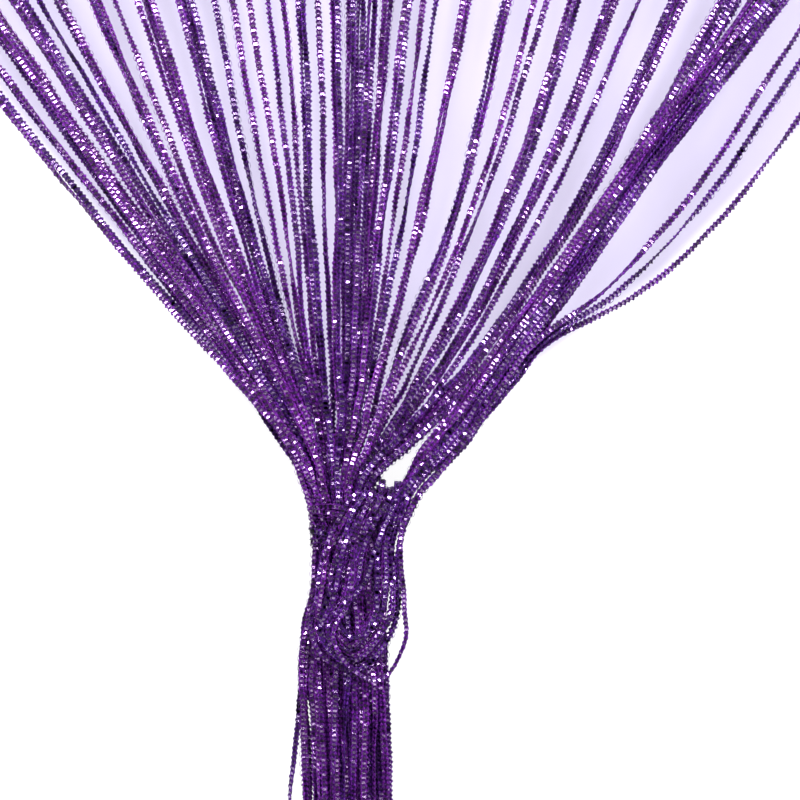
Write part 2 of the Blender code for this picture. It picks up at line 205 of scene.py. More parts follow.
BIGHT_ROUTE = (
    (71.0, -11.0, 55.0, -0.7, 0.7, 2.4, 1.3, 0.35, 0.95, 1),
    (46.5, -11.0, 21.0, -0.74, 0.67, 2.3, 1.3, 0.15, 0.90, 1),
    (28.4, -10.0, 0.4, -0.76, 0.65, 1.7, 1.3, 0.0, 0.95, 1),
    (21.0, -10.0, -11.5, -0.9, 0.43, 2.4, 1.2, 0.0, 0.80, 1),
    (17.8, -12.0, -24.0, -1.0, 0.1, 2.5, 1.2, 0.0, 0.80, 1),
    (17.6, -12.6, -40.0, -1.0, 0.0, 2.6, 1.2, 0.0, 0.78, 2),
    (15.5, -12.8, -54.0, -0.9, 0.4, 2.6, 1.2, 0.0, 0.75, 3),
    (4.0, -13.4, -66.0, 0.0, 1.0, 2.5, 1.2, 0.0, 0.68, 3),
    (-7.0, -13.2, -55.5, 0.95, 0.3, 2.6, 1.2, 0.3, 0.70, 2),
    (-1.5, -12.8, -40.0, 1.0, 0.0, 2.8, 1.2, 0.9, 0.76, 1),
    (2.0, -12.6, -25.0, 0.97, -0.2, 2.9, 1.2, 0.9, 0.76, 1),
    (7.0, -12.6, -13.0, 0.85, -0.5, 2.8, 1.2, 0.7, 0.74, 2),
    (12.5, -11.5, -6.5, 0.8, -0.6, 3.2, 1.2, 0.3, 0.76, 2),
    (15.8, -6.5, -2.8, 0.97, -0.25, 3.6, 1.2, 0.0, 1.00, 2),
    (16.1, 1.5, -1.6, 1.0, 0.0, 3.7, 1.2, 0.0, 1.00, 2),
    (16.0, 9.0, -4.6, 1.0, 0.0, 3.2, 1.2, 0.0, 0.95, 2),
    (15.0, 12.4, -13.0, 1.0, 0.0, 2.4, 1.2, 0.0, 0.80, 1),
    (11.5, 12.2, -30.0, 1.0, 0.0, 2.5, 1.2, 0.2, 0.92, 1),
    (9.0, 12.4, -62.0, 1.0, 0.0, 3.6, 1.2, 0.0, 0.80, 1),
    (7.0, 14.0, -105.0, 1.0, 0.0, 4.6, 1.4, 0.0, 1.00, 1),
    (3.0, 15.0, -320.0, 1.0, 0.0, 5.0, 1.5, 0.0, 1.00, 1),
)
ROUTE_FINENESS = 3
ELBOW_REACH = 7 * MM
# The bight's strings don't hang alike: how far each may stray at the bottom of
# its loop, to the right, to the back and up, and between which heights it grows.
LOOSE_STRAY = (1.2, 0.6, 2.6)
LONE_LOOSE = ((8.0, -0.5, -7.0), (1.8, 0.3, -1.5), (-1.0, 0.0, -2.5))
LOOSE_TOP, LOOSE_REACH = -4.0, 64.0
# How much higher or lower each bight column lies where it turns over the top:
# behind the front and above the foot, growing over the reach.
SADDLE_LIFT = (1.8, -1.0, 1.6, -0.8)
SADDLE_FRONT, SADDLE_FOOT, SADDLE_REACH = -11.0, -12.0, 7.0
# One string at the left edge hangs clear of the tail, from this height down.
STRAY_STRING, STRAY_HEIGHT, STRAY_X = 1, -105.0, -20.2

# How each string turns about its own length: three slow waves, with their
# lengths and shares, and how much of that turn is left in the knot.
TURN_WAVES = ((176 * MM, 0.50), (92 * MM, 0.34), (47 * MM, 0.20))
TURN_LEFT_IN_KNOT = 0.56
KNOT_TOP, KNOT_BOTTOM, KNOT_FADE = 30 * MM, -75 * MM, 30 * MM
# A steady turn, for the strings that hang apart and for those of the collar.
LONE_LEANS = (math.radians(2), math.radians(-23), math.radians(-18))
COLLAR_LEAN = math.radians(30)

# How far each string strays sideways from its route: slow waves, in the open
# and inside the knot, where the strings cross each other.
WANDER_WAVES = ((83 * MM, 0.55), (37 * MM, 0.30), (17 * MM, 0.15))
WANDER_OPEN, WANDER_IN_KNOT = 0.40 * MM, 1.15 * MM
WANDER_DEPTH_SHARE = 0.85

# How bright each stitch is: slow waves that make bright runs, and the scatter
# from one stitch to the next.
SHINE_WAVES = ((61 * MM, 0.45), (29 * MM, 0.35), (13 * MM, 0.20))
SHINE_SHARE, SHINE_SCATTER = 0.40, 0.45
# Inside the knot the stitches get painted shade, most of all where the strings
# run level, and their tilted rungs differ more.
SCATTER_IN_KNOT, PAINTED_KNOT_SHADE = 0.90, 0.01
PAINTED_LEVEL_SHADE, LEVEL_BELOW = 0.42, 0.7

# One stitch of the ladder, as shares of the string's width and of the stitch.
# The edge cord has two rings to a stitch, out and in.
CORD_SIDES = 3
CORD_AHEAD = (0.25, 0.75)
CORD_OFFSET = (0.375, 0.275)
CORD_RADIUS = (0.19, 0.075)
CORD_TURN = (0.0, 0.8)
CORD_BOB = 0.06
CORD_SCATTER = (0.85, 1.15)
EVEN_STITCH, ODD_STITCH = 1.36, 0.80
GROUND_HALF_WIDTH = 0.30
RUNG_HALF_WIDTH = 0.30
RUNG_HALF_LENGTH = 0.27
RUNG_HALF_THICKNESS = 0.075
RUNG_SCATTER = (0.8, 1.12)
RUNG_ROLL, RUNG_PITCH = math.radians(5), math.radians(6)
RUNG_TILT_IN_KNOT = math.radians(13)
PLAIN_HALF_THICKNESS = 0.16
# Fine loops along some edges: their path, as shares of the stitch ahead and of
# the reach, from a root that is a share of the width from the middle.
LOOP_SHARE = 0.45
LOOP_EVERY, LOOP_SIDES = 2, 3
LOOP_REACH, LOOP_RADIUS = 0.75 * MM, 0.09 * MM
LOOP_ROOT = 0.42
LOOP_PATH = ((0.15, 0), (0.55, 1), (1.25, 1), (1.7, 0))

STRING_TONE, STITCH_TONE, ALONG, ACROSS = "string_tone", "stitch_tone", "along", "across"
POINT_VALUES = (STRING_TONE, STITCH_TONE, ALONG, ACROSS)


# ---------------------------------------------------------------- settings

def length_setting(name, description, default, low, high):
    """A length that the user may change."""
    return bpy.props.FloatProperty(name=name, description=description, default=default,
                                   min=low, max=high, precision=4, unit="LENGTH")


def colour_setting(name, description, *rgb):
    """A colour that the user may change."""
    return bpy.props.FloatVectorProperty(name=name, description=description, default=(*rgb, 1.0),
                                         min=0.0, max=1.0, size=4, subtype="COLOR")


class CurtainSizes(bpy.types.PropertyGroup):
    """Sizes of the knitted strings."""
    string_width: length_setting("String width", "Width of one flat string",
                                 2.8 * MM, 1.0 * MM, 6.0 * MM)
    stitch: length_setting("Stitch", "Length of one stitch of the ladder",
                           1.9 * MM, 1.5 * MM, 6.0 * MM)
    fine_above: length_setting("Stitches above", "How far above the neck every stitch is modelled",
                               205 * MM, 0.0, 500 * MM)
    fine_below: length_setting("Stitches below", "How far below the neck every stitch is modelled",
                               140 * MM, 0.0, 500 * MM)
    plain_stitches: bpy.props.IntProperty(
        name="Plain step", description="Stitches to a section where the string is a plain ribbon",
        default=5, min=1, max=12)
    twist: bpy.props.FloatProperty(
        name="Twist", description="The most that a string turns to either side",
        default=math.radians(75), min=0.0, max=math.pi, unit="ROTATION")


class CurtainColours(bpy.types.PropertyGroup):
    """Colours of the yarns and of the stage."""
    film: colour_setting("Film", "Bright rungs of the ladder", 0.52, 0.375, 0.62)
    # Painted shade: the film's colour where it lies in creases.
    painted_crease_shade: colour_setting("Film creases", "The film where it folds", 0.160, 0.078, 0.240)
    edge: colour_setting("Edge thread", "Looped threads along both edges", 0.165, 0.018, 0.350)
    ground: colour_setting("Ground", "Thread behind the rungs", 0.045, 0.003, 0.110)
    tape: colour_setting("Heading tape", "Woven tape at the top", 0.080, 0.022, 0.150)
    backdrop: colour_setting("Backdrop", "Wall and floor of the stage", 1.0, 1.0, 1.0)
    shaded: colour_setting("Shaded backdrop", "Wall behind the fan", 0.77, 0.72, 0.93)


# ---------------------------------------------------------------- node groups and materials

COLOUR, NUMBER = "NodeSocketColor", "NodeSocketFloat"

# How much a thread's brightness varies from string to string and from stitch
# to stitch, and how dark its painted shade makes it in its creases and over a plain run.
FILM_SHARES, EDGE_SHARES, GROUND_SHARES = (0.4, 1.7), (0.5, 1.1), (0.4, 0.4)
CREASE_SHADE, PLAIN_SHADE = 0.30, 0.65
# How fine the fibres are, which of their noise is dark and light, and each
# bump's distance and strength.
FILM_FIBRE, EDGE_FIBRE, GROUND_FIBRE, TAPE_FIBRE = 1400.0, 1700.0, 2600.0, 900.0
FIBRE_DETAIL, FIBRE_DARK, FIBRE_LIGHT = 2.0, 0.35, 0.65
FILM_BUMP, EDGE_BUMP, GROUND_BUMP = (0.10 * MM, 0.8), (0.30 * MM, 1.0), (0.12 * MM, 0.8)
PLAIN_BUMP, TAPE_BUMP = (0.35 * MM, 1.0), (0.12 * MM, 0.9)
# The drawn ladder: how high a rung stands and how far it tips.
LADDER_RISE, LADDER_TIP = 0.5, 0.5
# The tape's colour: what its fibres and its weave's painted shade add, and its dark and light.
TAPE_FIBRE_SHARE, TAPE_WEAVE_SHADE_SHARE = 0.35, 0.65
TAPE_DARK, TAPE_LIGHT = 0.55, 1.35


def fill(tree, node, values):
    """Give a node's inputs, by name or number, their sockets or plain values."""
    for label, value in values.items():
        if isinstance(value, bpy.types.NodeSocket):
            tree.links.new(value, node.inputs[label])
        else:
            node.inputs[label].default_value = value


def add_node(tree, kind, values, **settings):
    """A new shader node with its settings and its inputs."""
    node = tree.nodes.new("ShaderNode" + kind)
    for name, value in settings.items():
        setattr(node, name, value)
    fill(tree, node, values)
    return node


def calculate(tree, operation, *values):
    """The result of one Math node."""
    return add_node(tree, "Math", dict(enumerate(values)), operation=operation).outputs[0]


def mix_colours(tree, share, first, second):
    """Mix of two colours, given as sockets or as plain colours."""
    node = add_node(tree, "Mix", {"Factor": share}, data_type="RGBA")
    colours = [k for k, socket in enumerate(node.inputs) if socket.type == "RGBA"]
    fill(tree, node, dict(zip(colours, (first, second))))
    return next(socket for socket in node.outputs if socket.type == "RGBA")


def mix_shaders(tree, share, first, second, output):
    """Mix of two shaders, as the tree's surface."""
    mixed = add_node(tree, "MixShader", {"Fac": share, 1: first, 2: second})
    fill(tree, tree.nodes[output], {"Surface": mixed.outputs["Shader"]})


def object_place(tree):
    """The X, Y and Z of the shaded point, from the object's origin."""
    place = add_node(tree, "TexCoord", {}).outputs["Object"]
    return add_node(tree, "SeparateXYZ", {"Vector": place}).outputs


def new_group(name, inputs, outputs):
    """A shader node group, what it is given and its output node.

    Inputs are (name, socket type, default) and outputs (name, socket type).
    """
    group = bpy.data.node_groups.new(name, "ShaderNodeTree")
    for label, kind, default in inputs:
        socket = group.interface.new_socket(name=label, in_out="INPUT", socket_type=kind)
        socket.default_value = default
    for label, kind in outputs:
        group.interface.new_socket(name=label, in_out="OUTPUT", socket_type=kind)
    given = group.nodes.new("NodeGroupInput")
    return group, given.outputs, group.nodes.new("NodeGroupOutput")


def thread_tone_group(name):
    """Shifts a thread's colour by string and by stitch, as dyed yarn varies; the stitch tone also
    holds painted shade in the knot.
    """
    tree, given, result = new_group(
        name,
        (("Colour", COLOUR, (0.5, 0.5, 0.5, 1.0)), ("String", NUMBER, 0.5), ("Stitch", NUMBER, 0.5),
         ("String share", NUMBER, 0.4), ("Stitch share", NUMBER, 0.4), ("Hue share", NUMBER, 0.035)),
        (("Colour", COLOUR),))
    string = calculate(tree, "SUBTRACT", given["String"], 0.5)
    stitch = calculate(tree, "SUBTRACT", given["Stitch"], 0.5)
    by_string = calculate(tree, "MULTIPLY_ADD", string, given["String share"], 1.0)
    shifted = add_node(tree, "HueSaturation", {
        "Hue": calculate(tree, "MULTIPLY_ADD", string, given["Hue share"], 0.5),
        "Value": calculate(tree, "MULTIPLY_ADD", stitch, given["Stitch share"], by_string),
        "Color": given["Colour"]})
    fill(tree, result, {"Colour": shifted.outputs["Color"]})
    return tree


def fibre_group(name):
    """Fine filaments of a thread, as a height and a light-to-dark mask."""
    tree, given, result = new_group(
        name, (("Fineness", NUMBER, 4000.0),), (("Height", NUMBER), ("Mask", NUMBER)))
    place = add_node(tree, "TexCoord", {}).outputs["Object"]
    noise = add_node(tree, "TexNoise", {
        "Vector": place, "Scale": given["Fineness"], "Detail": FIBRE_DETAIL}).outputs["Fac"]
    mask = add_node(tree, "MapRange", {
        "Value": noise, "From Min": FIBRE_DARK, "From Max": FIBRE_LIGHT})
    fill(tree, result, {"Height": noise, "Mask": mask.outputs["Result"]})
    return tree


def ladder_group(name):
    """The stitches of a plain ribbon, from the place along and across it."""
    tree, given, result = new_group(
        name, (("Along", NUMBER, 0.0), ("Across", NUMBER, 0.0)),
        (("Rung", NUMBER), ("Between edges", NUMBER), ("Tone", NUMBER), ("Height", NUMBER)))
    stitch = calculate(tree, "FLOOR", given["Along"])
    place = calculate(tree, "SUBTRACT", given["Along"], stitch)
    from_middle = calculate(tree, "ABSOLUTE", calculate(tree, "SUBTRACT", place, 0.5))
    on_rung = calculate(tree, "LESS_THAN", from_middle, RUNG_HALF_LENGTH)
    side = calculate(tree, "ABSOLUTE", given["Across"])
    inside = calculate(tree, "LESS_THAN", side, 2 * RUNG_HALF_WIDTH)
    rung = calculate(tree, "MULTIPLY", on_rung, inside)
    tone = add_node(tree, "TexWhiteNoise", {"W": stitch}, noise_dimensions="1D").outputs["Value"]
    lean = calculate(tree, "SUBTRACT", tone, 0.5)
    slope = calculate(tree, "MULTIPLY", lean, given["Across"])
    rise = calculate(tree, "MULTIPLY", rung, LADDER_RISE)
    height = calculate(tree, "MULTIPLY_ADD", slope, LADDER_TIP, rise)
    fill(tree, result, {"Rung": rung, "Between edges": inside, "Tone": tone, "Height": height})
    return tree


def weave_group(name):
    """Warp and weft of a narrow woven tape, as a height and a mask."""
    tree, given, result = new_group(
        name, (("Thread", NUMBER, 1.0 * MM),), (("Height", NUMBER), ("Mask", NUMBER)))
    place = object_place(tree)
    turn = calculate(tree, "DIVIDE", math.tau, given["Thread"])
    half_turn = calculate(tree, "MULTIPLY", turn, 0.5)
    warp = calculate(tree, "SINE", calculate(tree, "MULTIPLY", place["Z"], turn))
    weft = calculate(tree, "SINE", calculate(tree, "MULTIPLY", place["X"], half_turn))
    height = calculate(tree, "MULTIPLY", warp, weft)
    mask = calculate(tree, "MULTIPLY_ADD", height, 0.5, 0.5)
    fill(tree, result, {"Height": height, "Mask": mask})
    return tree


def behind_fan_group(name):
    """Mask of the wall behind the fan: 1 below the heading and above the fan's lower edges."""
    tree, _, result = new_group(name, (), (("Mask", NUMBER),))
    place = object_place(tree)
    inside = calculate(tree, "SUBTRACT", TAPE_LOW.z, place["Z"])
    for corner_x, corner_z, slope in FAN_EDGES:
        corner = from_neck(corner_x, 0.0, corner_z)
        height = calculate(tree, "MULTIPLY_ADD", place["X"], -slope, slope * corner.x - corner.z)
        above = calculate(tree, "ADD", place["Z"], height)
        inside = calculate(tree, "MINIMUM", above, inside)
    mask = add_node(tree, "MapRange", {
        "Value": inside, "From Min": -FAN_EDGE_BLUR, "From Max": FAN_EDGE_BLUR},
        interpolation_type="SMOOTHSTEP")
    fill(tree, result, {"Mask": mask.outputs["Result"]})
    return tree


GROUPS = {"Thread tone": thread_tone_group, "Fibre": fibre_group, "Ladder": ladder_group,
          "Tape weave": weave_group, "Behind the fan": behind_fan_group}


def place_group(tree, name, values):
    """A shared node group in a material; it is built the first time that it is used."""
    group = bpy.data.node_groups.get(name) or GROUPS[name](name)
    return add_node(tree, "Group", values, node_tree=group)


def point_value(tree, name):
    """One of the values that a string keeps at its points."""
    return add_node(tree, "Attribute", {}, attribute_name=name).outputs["Fac"]


def scaled(colour, share):
    """A colour made darker or lighter."""
    return tuple(min(1.0, part * share) for part in colour[:3]) + (1.0,)


def new_material(name, values):
    """A material whose Principled shader has its plain values set."""
    made = bpy.data.materials.new(name)
    made.use_nodes = True
    shader = made.node_tree.nodes["Principled BSDF"]
    fill(made.node_tree, shader, values)
    return made, made.node_tree, shader


def finish_surface(tree, shader, colour, height, bump):
    """Feed the shader's colour and, through a bump's distance and strength, its normal."""
    distance, strength = bump
    raised = add_node(tree, "Bump", {"Height": height, "Distance": distance, "Strength": strength})
    fill(tree, shader, {"Base Color": colour, "Normal": raised.outputs["Normal"]})


def toned(tree, colour, shares, stitch=None):
    """A thread's colour, varied by string and by stitch."""
    return place_group(tree, "Thread tone", {
        "Colour": tuple(colour), "String": point_value(tree, STRING_TONE),
        "Stitch": stitch or point_value(tree, STITCH_TONE),
        "String share": shares[0], "Stitch share": shares[1]}).outputs["Colour"]


def thread_material(name, values, colour, painted_crease_shade, shares, fineness, bump):
    """A thread with its fibres, with painted shade in its creases where it has a crease colour."""
    _, tree, shader = new_material(name, {"Base Color": tuple(colour), **values})
    fibre = place_group(tree, "Fibre", {"Fineness": fineness}).outputs
    base = toned(tree, colour, shares)
    if painted_crease_shade:
        # Painted shade: the crease colour goes where the fibre mask is dark.
        base = mix_colours(tree, fibre["Mask"], toned(tree, painted_crease_shade, shares), base)
    finish_surface(tree, shader, base, fibre["Height"], bump)


def edge_material(name, colours):
    """Silky multifilament thread along the string's edges."""
    # Its crease colour is painted shade, the edge colour made darker by CREASE_SHADE.
    thread_material(name, {"Roughness": 0.36, "Specular IOR Level": 0.2}, colours.edge,
                    scaled(colours.edge, CREASE_SHADE), EDGE_SHARES, EDGE_FIBRE, EDGE_BUMP)


def film_material(name, colours):
    """Bright metal-coated film, with painted shade in its creases, so that each rung glints in small
    patches.
    """
    thread_material(name, {"Metallic": 1.0, "Roughness": 0.24}, colours.film,
                    tuple(colours.painted_crease_shade), FILM_SHARES, FILM_FIBRE, FILM_BUMP)


def ground_material(name, colours):
    """Dark thread that shows between the rungs."""
    thread_material(name, {"Roughness": 0.55, "Specular IOR Level": 0.12}, colours.ground,
                    None, GROUND_SHARES, GROUND_FIBRE, GROUND_BUMP)


def plain_run_material(name, colours):
    """The whole ladder as a finish, for the runs of plain ribbon."""
    _, tree, shader = new_material(name, {
        "Base Color": tuple(colours.edge), "Roughness": 0.34, "Specular IOR Level": 0.3})
    ladder = place_group(tree, "Ladder", {
        "Along": point_value(tree, ALONG), "Across": point_value(tree, ACROSS)}).outputs
    # Painted shade: film and edge are darkened by PLAIN_SHADE over a plain run.
    film = toned(tree, scaled(colours.film, PLAIN_SHADE), FILM_SHARES, ladder["Tone"])
    edge = toned(tree, scaled(colours.edge, PLAIN_SHADE), EDGE_SHARES, ladder["Tone"])
    ground = toned(tree, colours.ground, GROUND_SHARES, ladder["Tone"])
    thread = mix_colours(tree, ladder["Between edges"], edge, ground)
    blend = mix_colours(tree, ladder["Rung"], thread, film)
    fill(tree, shader, {"Metallic": ladder["Rung"]})
    finish_surface(tree, shader, blend, ladder["Height"], PLAIN_BUMP)


STRING_FINISHES = {"edge_thread": edge_material, "film_rungs": film_material,
                   "ground_thread": ground_material, "plain_run": plain_run_material}
EDGE, FILM, GROUND, PLAIN = range(len(STRING_FINISHES))


def string_materials(context):
    """The four materials of a string, each made the first time that it is needed."""
    for name, make in STRING_FINISHES.items():
        if name not in bpy.data.materials:
            make(name, context.scene.curtain_colours)
    return [bpy.data.materials[name] for name in STRING_FINISHES]


def tape_material(colour):
    """Matt woven tape, with painted shade from the weave's height: its raised threads a little
    lighter.
    """
    made, tree, shader = new_material("tape_weave_finish", {
        "Base Color": tuple(colour), "Roughness": 0.82, "Sheen Weight": 0.35,
        "Sheen Roughness": 0.4})
    weave = place_group(tree, "Tape weave", {}).outputs
    fibre = place_group(tree, "Fibre", {"Fineness": TAPE_FIBRE}).outputs
    # Painted shade: the weave's height lightens the raised threads and darkens the hollows.
    woven = calculate(tree, "MULTIPLY", weave["Mask"], TAPE_WEAVE_SHADE_SHARE)
    mask = calculate(tree, "MULTIPLY_ADD", fibre["Mask"], TAPE_FIBRE_SHARE, woven)
    threads = mix_colours(tree, mask, scaled(colour, TAPE_DARK), scaled(colour, TAPE_LIGHT))
    finish_surface(tree, shader, threads, weave["Height"], TAPE_BUMP)
    return made


def stage_material(name, colour, glow, shaded=None):
    """Plain pale surface that lets the camera through from behind, with painted shade behind the fan
    when a shaded colour is given.
    """
    made, tree, shader = new_material(name, {
        "Base Color": scaled(colour, STAGE_LIT), "Roughness": 0.9, "Specular IOR Level": 0.1,
        "Emission Color": colour, "Emission Strength": glow})
    # Painted shade: behind the fan the wall takes the darker shaded colour and glows less.
    if shaded:
        mask = place_group(tree, "Behind the fan", {}).outputs["Mask"]
        lit = mix_colours(tree, mask, scaled(colour, STAGE_LIT), scaled(shaded, SHADED_LIT))
        bright = mix_colours(tree, mask, colour, scaled(shaded, SHADED_GLOW))
        fill(tree, shader, {"Base Color": lit, "Emission Color": bright})
    behind = add_node(tree, "NewGeometry", {}).outputs["Backfacing"]
    clear = add_node(tree, "BsdfTransparent", {})
    mix_shaders(tree, behind, shader.outputs["BSDF"], clear.outputs["BSDF"], "Material Output")
    return made


# ---------------------------------------------------------------- gathering a mesh

class Gathered:
    """Points, quads and per-point values of one piece, gathered as arrays."""

    def __init__(self):
        """Start with nothing."""
        self.points, self.values, self.quads, self.finishes, self.smooth = [], [], [], [], []
        self.count = 0

    def add(self, points, values, quads, finish, smooth):
        """Add quads with their points' values; finish is their material's number."""
        self.points.append(points.reshape(-1, 3))
        self.values.append(values.reshape(-1, len(POINT_VALUES)))
        self.quads.append(quads + self.count)
        self.finishes.append(np.full(len(quads), finish))
        self.smooth.append(np.full(len(quads), smooth))
        self.count += len(self.points[-1])

    def add_tube(self, rings, values, finish, smooth, capped=False):
        """Skin rings (n, sides, 3), whose corners run anticlockwise about the way along."""
        steps, sides = rings.shape[:2]
        ring = np.arange(steps - 1)[:, None] * sides
        corner = np.arange(sides)[None, :]
        after = (corner + 1) % sides
        quads = np.stack([ring + corner, ring + after, ring + sides + after,
                          ring + sides + corner], axis=-1).reshape(-1, 4)
        if capped:
            last = (steps - 1) * sides
            quads = np.vstack([quads, [[3, 2, 1, 0], [last, last + 1, last + 2, last + 3]]])
        self.add(rings, values, quads, finish, smooth)

    def to_object(self, name, materials):
        """Hand the arrays to Blender as one mesh object."""
        quads = np.concatenate(self.quads)
        mesh = bpy.data.meshes.new(name)
        mesh.vertices.add(self.count)
        mesh.vertices.foreach_set("co", np.concatenate(self.points).astype(np.float32).ravel())
        mesh.loops.add(quads.size)
        mesh.loops.foreach_set("vertex_index", quads.astype(np.int32).ravel())
        mesh.polygons.add(len(quads))
        mesh.polygons.foreach_set("loop_start", np.arange(0, quads.size, 4, dtype=np.int32))
        mesh.polygons.foreach_set("material_index", np.concatenate(self.finishes).astype(np.int32))
        mesh.polygons.foreach_set("use_smooth", np.concatenate(self.smooth))
        values = np.concatenate(self.values).astype(np.float32)
        for column, label in enumerate(POINT_VALUES):
            layer = mesh.attributes.new(label, "FLOAT", "POINT")
            layer.data.foreach_set("value", np.ascontiguousarray(values[:, column]))
        for material in materials:
            mesh.materials.append(material)
        mesh.update(calc_edges=True)
        mesh.validate()
        made = bpy.data.objects.new(name, mesh)
        bpy.context.scene.collection.objects.link(made)
        return made


def as_piece(made, node):
    """Ride the curtain's body and stand for a CAD node."""
    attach(made, BODY)
    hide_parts(node)


# ---------------------------------------------------------------- where the strings run

def from_neck(x, y, z):
    """A point given in millimetres from the neck, in metres."""
    return NECK + Vector((x, y, z)) * MM


def cluster_places():
    """For each main string, its x at the fan's three heights."""
    places = []
    for row in FAN:
        cluster = dict(zip(FAN_COLUMNS, row))
        for k in range(cluster["strings"]):
            aside = k - (cluster["strings"] - 1) / 2
            places.append({name: cluster[name] + aside * CLUSTER_SPREAD[name]
                           for name in FAN_HEIGHTS})
    return places


def neck_cells():
    """Deal the main strings into the neck's layers, left to right.

    Every layer takes strings from the whole width, so neighbours lie in
    different layers and may hang in front of each other.
    """
    turns = []
    for layer, size in enumerate(NECK_LAYERS):
        stagger = (layer * LAYER_SHUFFLE % len(NECK_LAYERS)) / len(NECK_LAYERS)
        for column in range(size):
            turns.append(((column + stagger) / size, layer, column))
    cells = []
    for _, layer, column in sorted(turns):
        aside = (layer * LAYER_STEP % 1 - 0.5) * LAYER_REACH
        cells.append((column - (NECK_LAYERS[layer] - 1) / 2 + aside,
                      layer - (len(NECK_LAYERS) - 1) / 2))
    return cells


def way_point(point, across, squeeze):
    """One row of a route: place, direction across the string, and its share of full width."""
    return (*point, *across, squeeze)


def root_point(index, across):
    """Where string number index leaves the heading."""
    x = CURTAIN_LEFT + (index + 0.5) * STRING_PITCH
    return way_point((x, 0.0, ROOT_Z + ROOT_DEPTH), across, 1.0)


def with_cut_end(way):
    """Hang the rest of the string's length straight down from the last way-point."""
    places = np.array(way)[:, :3]
    rest = STRING_LENGTH - np.linalg.norm(np.diff(places, axis=0), axis=1).sum()
    last = Vector(places[-1])
    end = Vector((NECK.x + (last.x - NECK.x) * TAIL_END_SPREAD,
                  last.y * TAIL_END_SPREAD, last.z - rest))
    return np.array(way + [way_point(end, RIGHT, 1.0)])


def main_route(index, places, cell):
    """Way-points of one main string: root, fan, neck and tail."""
    column, layer = cell
    way = [root_point(index, RIGHT)]
    for name, height in FAN_HEIGHTS.items():
        way.append(way_point(from_neck(places[name], layer * FAN_LAYER_PITCH[name], height),
                             RIGHT, 1.0))
    for row in MAIN_STATIONS:
        at = dict(zip(MAIN_COLUMNS, row))
        x = at["aside"] + column * at["column_pitch"]
        x += (places["lower"] - x) * at["fan"]
        if index == STRAY_STRING and at["height"] <= STRAY_HEIGHT:
            x = STRAY_X
        way.append(way_point(from_neck(x, layer * at["layer_pitch"], at["height"]),
                             RIGHT, at["squeeze"]))
    return with_cut_end(way)


def catmull(rows, k, t):
    """Smooth value between rows k and k + 1, for every column at once."""
    a, b, c, d = (rows[min(max(j, 0), len(rows) - 1)] for j in (k - 1, k, k + 1, k + 2))
    return [0.5 * (2 * q + (r - p) * t + (2 * p - 5 * q + 4 * r - s) * t * t
                   + (3 * q - p - 3 * r + s) * t ** 3)
            for p, q, r, s in zip(a, b, c, d)]


def route_frames(route):
    """Centre, across, through and pitches at every step of a bundle's route."""
    samples = []
    for k, row in enumerate(route[:-1]):
        steps = row[-1] * ROUTE_FINENESS
        samples += [catmull(route, k, s / steps) for s in range(steps)]
    samples.append(route[-1])
    stations = [dict(zip(ROUTE_COLUMNS, sample)) for sample in samples]
    centres = [from_neck(at["x"], at["y"], at["z"]) for at in stations]
    frames = []
    for k, at in enumerate(stations):
        along = (centres[min(k + 1, len(centres) - 1)] - centres[max(k - 1, 0)]).normalized()
        across = Vector((at["across_x"], 0.0, at["across_z"])).normalized()
        frames.append((centres[k], across, along.cross(across).normalized(), at))
    return frames


def tight_elbow(way, elbow):
    """Hold a route close to its straight runs on both sides of way-point elbow."""
    here = np.array(way[elbow])
    held = []
    for neighbour in (elbow - 1, elbow + 1):
        run = np.array(way[neighbour]) - here
        held.append(tuple(here + run * ELBOW_REACH / np.linalg.norm(run[:3])))
    return way[:elbow] + held + way[elbow + 1:]


def wrap_route(index, column, layer, fan_x, frames, loose, lift):
    """Way-points of one collar or bight string.

    Column and layer count from the bundle's middle.  Where the bundle's
    "spread" is 1, its layers slide apart until the strings lie side by side.
    "loose" is how far the string strays where the bundle hangs free, and
    "lift" how far it rises where the bundle turns over the top of the knot.
    """
    way = [root_point(index, -RIGHT)]
    for height, depth, x in zip(WRAP_FAN_HEIGHTS, WRAP_FAN_DEPTHS, fan_x):
        way.append(way_point(from_neck(x, depth + layer * WRAP_LAYER_PITCH, height), -RIGHT, 1.0))
    elbow = len(way) - 1
    for centre, across, through, at in frames:
        aside = (column - layer * COLLAR_COLUMNS * at["spread"]) * at["column_pitch"]
        slack = min(max((LOOSE_TOP - at["z"]) / LOOSE_REACH, 0.0), 1.0) ** 2
        over = min(max((at["y"] - SADDLE_FRONT) / SADDLE_REACH, 0.0), 1.0)
        over *= min(max((at["z"] - SADDLE_FOOT) / SADDLE_REACH, 0.0), 1.0)
        point = centre + (across * aside + through * layer * at["layer_pitch"]
                          + loose * slack + UP * lift * over) * MM
        way.append(way_point(point, across, at["squeeze"]))
    return with_cut_end(tight_elbow(way, elbow))


def main_routes():
    """Routes of all the main strings, from left to right."""
    return [main_route(index, places, cell) for index, (places, cell)
            in enumerate(zip(cluster_places(), neck_cells()))]


def wrap_routes(columns, layers, first_index, fan_columns, route, loose, lifts):
    """Routes of one wrap bundle; each column's x in the fan and lift, each string's slack."""
    frames = route_frames(route)
    routes = []
    for column in range(columns):
        for layer in range(layers):
            side, depth = (columns - 1) / 2 - column, layer - (layers - 1) / 2
            routes.append(wrap_route(first_index + len(routes), side, depth,
                                     fan_columns[column][layer], frames,
                                     Vector(loose[column][layer]), lifts[column]))
    return routes


# ---------------------------------------------------------------- the knitted string

